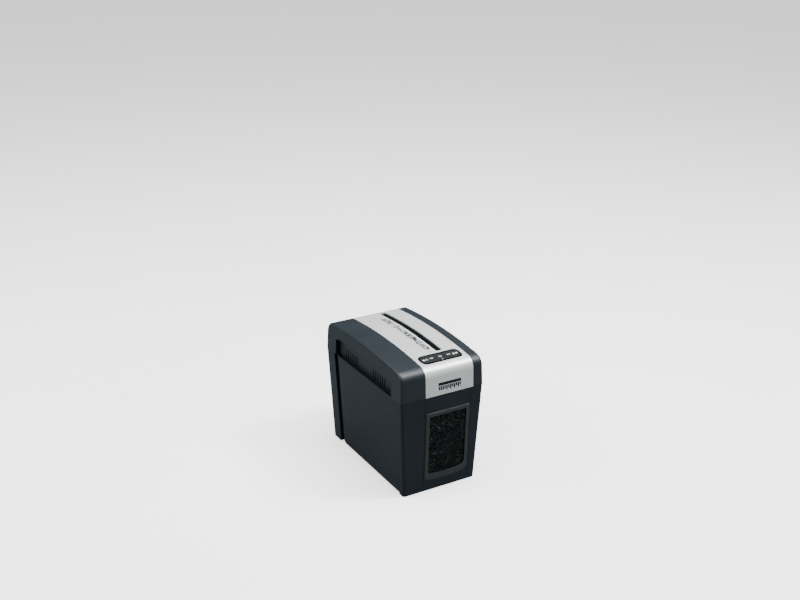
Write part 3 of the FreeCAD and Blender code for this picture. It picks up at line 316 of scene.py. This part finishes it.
def makeHeap():
    binLow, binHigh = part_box("bin_shell")
    halfX = (binHigh.x - binLow.x) / 2
    halfY = (binHigh.y - binLow.y) / 2
    rimZ = binHigh.z
    drawX, drawY = shreds["drawInXMm"] * millimetre, shreds["drawInYMm"] * millimetre
    heapLow = shreds["heapBaseMm"] * millimetre
    mesh = bpy.data.meshes.new("shredHeap")
    work = bmesh.new()
    bmesh.ops.create_cube(work, size=2.0)
    bmesh.ops.subdivide_edges(work, edges=work.edges[:], cuts=shreds["heapCuts"], use_grid_fill=True)
    for vertex in work.verts:
        across, along, up = vertex.co
        crown = math.cos(across * shreds["crownX"]) * math.cos(along * shreds["crownY"])
        topZ = (shreds["heapTopMm"] - shreds["hollowMm"] * (1.0 - crown)) * millimetre
        z = heapLow + (up + 1.0) / 2 * (topZ - heapLow)
        share = z / rimZ
        sideX = halfX - drawX * (1.0 - share) - shreds["sideGapMm"] * millimetre
        frontY = halfY - drawY * (1.0 - share) - shreds["frontGapMm"] * millimetre
        rearY = halfY - drawY * (1.0 - share) - shreds["rearGapMm"] * millimetre
        y = along * (frontY if along < 0 else rearY)
        vertex.co = (across * sideX * (1.0 - shreds["bowX"] * along ** 8),
                     y * (1.0 - shreds["bowY"] * across ** 8), z)
    work.normal_update()
    moved = {}
    lumpShare = shreds["lumpShare"]
    for vertex in work.verts:
        lump = (noise.noise(vertex.co * shreds["lumpsPerMetre"]) * lumpShare
                + noise.noise(vertex.co * shreds["crumbsPerMetre"]) * (1.0 - lumpShare))
        moved[vertex] = vertex.co - vertex.normal * (0.5 + 0.5 * lump) * shreds["lumpMm"] * millimetre
    for vertex, place in moved.items():
        vertex.co = place
    bmesh.ops.recalc_face_normals(work, faces=work.faces[:])
    work.to_mesh(mesh)
    work.free()
    mesh.materials.append(paper)
    for polygon in mesh.polygons:
        polygon.use_smooth = True
    heap = bpy.data.objects.new("shred_heap", mesh)
    scene.collection.objects.link(heap)
    return heap


# node group that lays curled strips over the heap's top and sides
def stripTree():
    tree = bpy.data.node_groups.new("stripsOnHeap", "GeometryNodeTree")
    face = tree.interface
    face.new_socket("Geometry", in_out="INPUT", socket_type="NodeSocketGeometry")
    for label in ("Density", "Strip Length", "Strip Width", "Lift", "Tilt", "Shortest", "Longest"):
        face.new_socket(label, in_out="INPUT", socket_type="NodeSocketFloat")
    face.new_socket("Seed", in_out="INPUT", socket_type="NodeSocketInt")
    face.new_socket("Paper", in_out="INPUT", socket_type="NodeSocketMaterial")
    face.new_socket("Geometry", in_out="OUTPUT", socket_type="NodeSocketGeometry")
    given = addNode(tree, "NodeGroupInput").outputs
    normal = addNode(tree, "GeometryNodeInputNormal").outputs["Normal"]
    # strips lie on the top and the sides, not on the underside
    split = addNode(tree, "ShaderNodeSeparateXYZ", links={"Vector": normal})
    upward = addNode(tree, "FunctionNodeCompare",
                     settings={"data_type": "FLOAT", "operation": "GREATER_THAN"},
                     values={1: -0.5}, links={0: split.outputs["Z"]}).outputs["Result"]
    scatter = addNode(tree, "GeometryNodeDistributePointsOnFaces",
                      links={"Mesh": given["Geometry"], "Selection": upward, "Density": given["Density"],
                             "Seed": given["Seed"]})
    strip = addNode(tree, "GeometryNodeMeshGrid", values={"Vertices X": 5, "Vertices Y": 2},
                    links={"Size X": given["Strip Length"], "Size Y": given["Strip Width"]})
    # each strip curls up towards its two ends
    place = addNode(tree, "GeometryNodeInputPosition").outputs["Position"]
    split = addNode(tree, "ShaderNodeSeparateXYZ", links={"Vector": place})
    ratio = addNode(tree, "ShaderNodeMath", settings={"operation": "DIVIDE"},
                    links={0: split.outputs["X"], 1: given["Strip Length"]}).outputs[0]
    square = addNode(tree, "ShaderNodeMath", settings={"operation": "MULTIPLY"}, links={0: ratio, 1: ratio})
    curl = addNode(tree, "ShaderNodeMath", settings={"operation": "MULTIPLY"},
                   links={0: square.outputs[0], 1: given["Lift"]}).outputs[0]
    offset = addNode(tree, "ShaderNodeCombineXYZ", links={"Z": curl}).outputs["Vector"]
    curled = addNode(tree, "GeometryNodeSetPosition",
                     links={"Geometry": strip.outputs["Mesh"], "Offset": offset})
    # it tilts a little off the heap and heads any way
    turn = addNode(tree, "FunctionNodeRandomValue", settings={"data_type": "FLOAT_VECTOR"},
                   values={"Min": (-1.0, -1.0, -math.pi), "Max": (1.0, 1.0, math.pi)},
                   links={"Seed": given["Seed"]}).outputs[0]
    tilt = addNode(tree, "ShaderNodeCombineXYZ",
                   values={"Z": 1.0}, links={"X": given["Tilt"], "Y": given["Tilt"]})
    turned = addNode(tree, "ShaderNodeVectorMath", settings={"operation": "MULTIPLY"},
                     links={0: turn, 1: tilt.outputs[0]}).outputs["Vector"]
    local = addNode(tree, "FunctionNodeEulerToRotation", links={"Euler": turned}).outputs["Rotation"]
    facing = addNode(tree, "FunctionNodeRotateRotation", settings={"rotation_space": "LOCAL"},
                     links={"Rotation": scatter.outputs["Rotation"], "Rotate By": local}).outputs["Rotation"]
    size = addNode(tree, "FunctionNodeRandomValue", settings={"data_type": "FLOAT"},
                   links={2: given["Shortest"], 3: given["Longest"], "Seed": given["Seed"]}).outputs[1]
    laid = addNode(tree, "GeometryNodeInstanceOnPoints",
                   links={"Points": scatter.outputs["Points"], "Instance": curled.outputs["Geometry"],
                          "Rotation": facing, "Scale": size})
    # its tone is kept as an attribute for the paper to read
    tone = addNode(tree, "FunctionNodeRandomValue", settings={"data_type": "FLOAT"},
                   values={2: 0.0, 3: 1.0}).outputs[1]
    toned = addNode(tree, "GeometryNodeStoreNamedAttribute",
                    settings={"data_type": "FLOAT", "domain": "INSTANCE"}, values={"Name": "tone"},
                    links={"Geometry": laid.outputs["Instances"], "Value": tone})
    solid = addNode(tree, "GeometryNodeRealizeInstances", links={"Geometry": toned.outputs["Geometry"]})
    painted = addNode(tree, "GeometryNodeSetMaterial",
                      links={"Geometry": solid.outputs["Geometry"], "Material": given["Paper"]})
    addNode(tree, "NodeGroupOutput", links={"Geometry": painted.outputs["Geometry"]})
    return tree


def makeStrips(heap):
    strips = bpy.data.objects.new("shred_strips", heap.data.copy())
    scene.collection.objects.link(strips)
    modifier = strips.modifiers.new("strips", "NODES")
    tree = stripTree()
    modifier.node_group = tree
    wanted = {
        "Density": shreds["perSquareMetre"], "Strip Length": shreds["stripLengthMm"] * millimetre,
        "Strip Width": shreds["stripWidthMm"] * millimetre, "Lift": shreds["stripLiftMm"] * millimetre,
        "Tilt": math.radians(shreds["tiltDegrees"]), "Shortest": shreds["shortest"],
        "Longest": shreds["longest"], "Seed": shreds["seed"], "Paper": paper,
    }
    for item in tree.interface.items_tree:
        if item.in_out == "INPUT" and item.name in wanted:
            modifier[item.identifier] = wanted[item.name]
    graph = bpy.context.evaluated_depsgraph_get()
    plain = bpy.data.meshes.new_from_object(strips.evaluated_get(graph))
    strips.modifiers.clear()
    strips.data = plain
    plain.name = "shredStrips"
    return strips


# off-white and printed scraps, soft and fibrous; most are near-black, partly as print and partly as painted
# shade in the heap
paper = shreddedPaper()
heap = makeHeap()
strips = makeStrips(heap)
for piece in (heap, strips):
    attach(piece, "bin")
print("shreds:", len(strips.data.polygons), "faces")


# printed marks: flat shapes in millimetres, laid on a surface as a thin skin of ink
def surfaceOf(node):
    mesh = frame["nodes"][node].data
    return BVHTree.FromPolygons([v.co for v in mesh.vertices], [list(p.vertices) for p in mesh.polygons])


# quads along a line of points, each with square ends
def stroke(points, width):
    quads = []
    for start, end in zip(points, points[1:]):
        a, b = Vector(start), Vector(end)
        ahead = (b - a).normalized() * width / 2
        side = Vector((-ahead.y, ahead.x))
        quads.append([a - ahead - side, b + ahead - side, b + ahead + side, a - ahead + side])
    return quads


def arcBand(centre, radius, width, fromDegrees, toDegrees, steps=20):
    quads = []
    for step in range(steps):
        angles = [math.radians(fromDegrees + (toDegrees - fromDegrees) * (step + more) / steps)
                  for more in (0, 1)]
        corners = [(radius - width / 2, angles[0]), (radius + width / 2, angles[0]),
                   (radius + width / 2, angles[1]), (radius - width / 2, angles[1])]
        quads.append([Vector((centre[0] + r * math.cos(a), centre[1] + r * math.sin(a))) for r, a in corners])
    return quads


def box2d(x0, x1, y0, y1):
    return [Vector((x0, y0)), Vector((x1, y0)), Vector((x1, y1)), Vector((x0, y1))]


def shifted(shapes, across, up, scale=1.0):
    return [[Vector((p[0] * scale + across, p[1] * scale + up)) for p in shape] for shape in shapes]


inkMm, inkSinkMm = 0.05, 0.02     # how far the ink stands out of the surface, and how far it goes in
rayStart = 0.4                    # metres out from the middle, clear of the whole case


# toWorld gives where each ray starts
def printOn(name, shapes, toWorld, direction, surface, ink):
    mesh = bpy.data.meshes.new(name)
    work = bmesh.new()
    for shape in shapes:
        outer, inner = [], []
        for point in shape:
            hit, normal, index, distance = surface.ray_cast(toWorld(point[0], point[1]), direction)
            if hit is None:
                break
            if normal.dot(direction) > 0:
                normal = -normal
            outer.append(work.verts.new(hit + normal * inkMm * millimetre))
            inner.append(work.verts.new(hit - normal * inkSinkMm * millimetre))
        if len(outer) < len(shape):
            continue
        work.faces.new(outer)
        work.faces.new(inner[::-1])
        for index in range(len(outer)):
            after = (index + 1) % len(outer)
            work.faces.new((outer[index], inner[index], inner[after], outer[after]))
    bmesh.ops.recalc_face_normals(work, faces=work.faces[:])
    bmesh.ops.triangulate(work, faces=work.faces[:])
    work.to_mesh(mesh)
    work.free()
    mesh.materials.append(ink)
    made = bpy.data.objects.new(name, mesh)
    scene.collection.objects.link(made)
    return made


marks = {
    "arrowHeight": 4.0, "arrowLength": 3.6, "arrowGap": 0.4, "powerRadius": 2.5, "lineWidth": 0.7,
    "rowCentreX": 8.8, "rowStartY": 93.0, "rowPitch": 13.2, "rowCount": 14, "pictureScale": 1.38,
    "pictureLine": 1.6, "fineLine": 1.4, "sideMarkX": 31.6, "sideMarkY": 0.2,
    "badgeWidth": 54.0, "badgeBarHeight": 6.5, "badgeBarLow": 2.2, "badgeStrips": 12, "badgeCentreZ": 235.0,
    "badgeStripTop": 1.0, "badgeShortest": 6.5, "badgeLonger": 4.0, "badgeGap": 1.1,
}
# warm white pad print on the panel
lightInk = mouldedPlastic("padPrintLight", "#b4b7b6", "#c6c9c8", 0.5, grainMm=0.3, grainHeight=0.01,
                          mottleMm=3.0)
# near-black pad print on the lacquer
darkInk = mouldedPlastic("padPrintDark", "#0b0c0d", "#131516", 0.6, grainMm=0.3, grainHeight=0.01,
                         mottleMm=3.0, sheen=0.2)


def doubleArrow(sign):
    half, length, gap = marks["arrowHeight"] / 2, marks["arrowLength"], marks["arrowGap"]
    shapes = []
    for start in (-length - gap / 2, gap / 2):
        tip, tail = (start, start + length) if sign < 0 else (start + length, start)
        shapes.append([Vector((tip, 0)), Vector((tail, half)), Vector((tail, -half))])
    return shapes


def powerMark():
    radius, width = marks["powerRadius"], marks["lineWidth"]
    return arcBand((0, -0.3), radius, width, 125, 415) + stroke([(0, -0.2), (0, radius + 0.3)], width)


def warningMark():
    corners = [(-2.9, -2.3), (2.9, -2.3), (0, 2.6), (-2.9, -2.3)]
    return stroke(corners, 0.7) + [box2d(-0.35, 0.35, -0.6, 1.1), box2d(-0.35, 0.35, -1.6, -1.0)]


def heatMark():
    stem = stroke([(-0.9, -0.9), (-0.9, 2.9), (0.9, 2.9), (0.9, -0.9)], 0.55)
    return stem + arcBand((0, -1.9), 1.0, 2.0, 0, 360) + stroke([(0, -1.5), (0, 1.2)], 0.6)


panelLow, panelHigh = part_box("control_panel")
panelMiddle = (panelLow + panelHigh) / 2
downward = Vector((0, 0, -1))


def onPanelAt(across, up):
    return Vector((panelMiddle.x + across * millimetre, panelMiddle.y + up * millimetre, rayStart))


sideMarks = (shifted(warningMark(), -marks["sideMarkX"], marks["sideMarkY"])
             + shifted(heatMark(), marks["sideMarkX"], marks["sideMarkY"]))
panelMarks = printOn("panel_marks", sideMarks, onPanelAt, downward, surfaceOf("control_panel"), lightInk)
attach(panelMarks, "head")
for key, body, shapes in (("reverse_key", "reverse_button", doubleArrow(-1)),
                          ("power_key", "power_button", powerMark()),
                          ("forward_key", "forward_button", doubleArrow(1))):
    low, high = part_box(key)
    middle = (low + high) / 2

    def onKeyAt(across, up, middle=middle):
        return Vector((middle.x + across * millimetre, middle.y + up * millimetre, rayStart))

    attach(printOn(key + "_mark", shapes, onKeyAt, downward, surfaceOf(key), lightInk), body)


# small line drawings of things that go in, and a few that don't
def pictures():
    line, fine = marks["pictureLine"], marks["fineLine"]
    frameLine = stroke([(-3.8, -2.5), (3.8, -2.5), (3.8, 2.5), (-3.8, 2.5), (-3.8, -2.5)], line)
    page = stroke([(-2.6, -3.4), (-2.6, 3.4), (1.0, 3.4), (2.6, 1.8), (2.6, -3.4), (-2.6, -3.4)], line)
    lines = [box2d(-1.5, 1.5, level, level + 0.9) for level in (-2.0, -0.8, 0.4)]
    stack = page + stroke([(3.9, 2.4), (3.9, -4.4), (-1.2, -4.4)], line)
    card = frameLine + [box2d(-3.8, 3.8, 0.5, 1.6)]
    staple = stroke([(-3.0, -1.6), (-3.0, 1.4), (3.0, 1.4), (3.0, -1.6)], fine)
    clip = (stroke([(-1.8, -2.6), (-1.8, 2.2)], line) + arcBand((0, 2.2), 1.8, 1.5, 0, 180, 10)
            + stroke([(1.8, 2.2), (1.8, -1.8)], line) + arcBand((0.45, -1.8), 1.35, fine, 180, 360, 10)
            + stroke([(-0.9, -1.8), (-0.9, 1.6)], line))
    ring = arcBand((0, 0), 3.2, line, 0, 360) + arcBand((0, 0), 0.9, fine, 0, 360, 12)
    cross = stroke([(-3.4, -3.4), (3.4, 3.4)], line)
    letter = frameLine + stroke([(-3.6, 2.3), (0, -0.3), (3.6, 2.3)], fine)
    return [page + lines, stack, letter, staple, card, clip, page, ring + cross, letter + cross,
            stack + lines, clip + cross, card]


def onTopAt(across, up):
    return Vector((marks["rowCentreX"] * millimetre + across * millimetre, up * millimetre, rayStart))


coverSurface = surfaceOf("fascia_cover")
row = []
drawn = pictures()
for index in range(marks["rowCount"]):
    row += shifted(drawn[index % len(drawn)], 0.0, marks["rowStartY"] - marks["rowPitch"] * index,
                   marks["pictureScale"])
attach(printOn("sheet_pictures", row, onTopAt, downward, coverSurface, darkInk), "head")

coverLow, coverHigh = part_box("fascia_cover")
coverMiddleX = (coverLow.x + coverHigh.x) / 2


def onFrontAt(across, up):
    return Vector((coverMiddleX + across * millimetre, -rayStart, (marks["badgeCentreZ"] + up) * millimetre))


# a sheet's edge with uneven strips hanging from it
half, barLow, stripTop = marks["badgeWidth"] / 2, marks["badgeBarLow"], marks["badgeStripTop"]
badge = [box2d(-half, half, barLow, barLow + marks["badgeBarHeight"])]
pitch = marks["badgeWidth"] / marks["badgeStrips"]
for index in range(marks["badgeStrips"]):
    start = -half + pitch * index
    length = marks["badgeShortest"] + marks["badgeLonger"] * math.sin(1.7 * index + 0.6) ** 2
    badge.append(box2d(start + marks["badgeGap"] / 2, start + pitch - marks["badgeGap"] / 2,
                       stripTop - length, stripTop))
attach(printOn("front_badge", badge, onFrontAt, Vector((0, 1, 0)), coverSurface, darkInk), "head")
print("printed marks made")


# floor, light and camera; each light has its place and size in metres and its watts
studio = {
    "floorSizeM": 30.0, "floorGlow": 1.0, "worldStrength": 0.2,
    "keyLight": ((-2.4, 0.9, 2.2), 2.2, 110.0), "topLight": ((0.2, -0.3, 3.0), 2.4, 190.0),
    "frontLight": ((1.6, -1.15, 2.8), 0.9, 130.0), "lightsAimAt": (0.0, 0.0, 0.15),
    "cameraPlace": (-1.0783, -1.8296, 1.2090), "cameraAzimuth": 30.375, "cameraElevation": 21.703,
    "cameraRoll": 0.3, "lensMm": 49.8,
}


def makeFloor():
    mesh = bpy.data.meshes.new("floor")
    half = studio["floorSizeM"] / 2
    corners = [(-half, -half, 0), (half, -half, 0), (half, half, 0), (-half, half, 0)]
    mesh.from_pydata(corners, [], [(0, 1, 2, 3)])
    material, tree, place = startMaterial("floorPaint")
    cloud = addNode(tree, "ShaderNodeTexNoise",
                    values={"Scale": perMetre / 400.0, "Detail": 4.0, **softNoise},
                    links={"Vector": place}).outputs["Fac"]
    grit = addNode(tree, "ShaderNodeTexNoise", values={"Scale": perMetre / 2.0, "Detail": 2.0, **softNoise},
                   links={"Vector": place}).outputs["Fac"]
    shade = addNode(tree, "ShaderNodeMapRange", values=noiseRange, links={"Value": cloud}).outputs["Result"]
    pale = addNode(tree, "ShaderNodeMix", settings={"data_type": "RGBA"},
                   values={6: linearColour("#efeff0"), 7: linearColour("#f6f6f6")},
                   links={0: shade}).outputs[2]
    # the floor throws back less light than it shows, as if dark cloths stood round the set
    seen = addNode(tree, "ShaderNodeLightPath").outputs["Is Camera Ray"]
    tone = addNode(tree, "ShaderNodeMix", settings={"data_type": "RGBA"}, values={6: linearColour("#646a6c")},
                   links={0: seen, 7: pale}).outputs[2]
    glow = addNode(tree, "ShaderNodeMapRange", values={"To Max": studio["floorGlow"]},
                   links={"Value": seen}).outputs["Result"]
    gloss = addNode(tree, "ShaderNodeMapRange", values={**noiseRange, "To Min": 0.5, "To Max": 0.62},
                    links={"Value": grit}).outputs["Result"]
    relief = addNode(tree, "ShaderNodeBump", values={"Strength": 0.1, "Distance": 0.02 * millimetre},
                     links={"Height": grit}).outputs["Normal"]
    shader = addNode(tree, "ShaderNodeBsdfPrincipled",
                     values={"IOR": 1.5, "Emission Color": (1.0, 1.0, 1.0, 1.0)},
                     links={"Base Color": tone, "Emission Strength": glow, "Roughness": gloss,
                            "Normal": relief})
    addNode(tree, "ShaderNodeOutputMaterial", links={"Surface": shader.outputs["BSDF"]})
    mesh.materials.append(material)
    floor = bpy.data.objects.new("floor", mesh)
    scene.collection.objects.link(floor)


def addSoftLight(name):
    place, size, watts = studio[name]
    light = bpy.data.lights.new(name, "AREA")
    light.shape = "DISK"
    light.size = size
    light.energy = watts
    made = bpy.data.objects.new(name, light)
    scene.collection.objects.link(made)
    made.location = place
    made.rotation_euler = (Vector(studio["lightsAimAt"]) - Vector(place)).to_track_quat("-Z", "Y").to_euler()


def makeCamera():
    camera = bpy.data.cameras.new("camera")
    camera.lens = studio["lensMm"]
    camera.sensor_width = 36.0
    camera.clip_end = 100.0
    made = bpy.data.objects.new("camera", camera)
    scene.collection.objects.link(made)
    azimuth = math.radians(studio["cameraAzimuth"])
    elevation = math.radians(studio["cameraElevation"])
    ahead = Vector((math.sin(azimuth) * math.cos(elevation), math.cos(azimuth) * math.cos(elevation),
                    -math.sin(elevation)))
    right = ahead.cross(Vector((0, 0, 1))).normalized()
    up = right.cross(ahead)
    roll = math.radians(studio["cameraRoll"])
    tilted = right * math.cos(roll) + up * math.sin(roll)
    upright = tilted.cross(ahead)
    made.matrix_world = Matrix.Translation(studio["cameraPlace"]) @ Matrix(
        [(tilted[i], upright[i], -ahead[i]) for i in range(3)]).to_4x4()
    scene.camera = made
    return made


makeFloor()
world = bpy.data.worlds.new("studioAir")
scene.world = world
world.use_nodes = True
air = world.node_tree.nodes["Background"].inputs
air["Color"].default_value = (0.97, 0.98, 1.0, 1.0)
air["Strength"].default_value = studio["worldStrength"]
for lamp in ("keyLight", "topLight", "frontLight"):
    addSoftLight(lamp)
camera = makeCamera()
print("camera", [round(value, 4) for line in camera.matrix_world for value in line][:12])
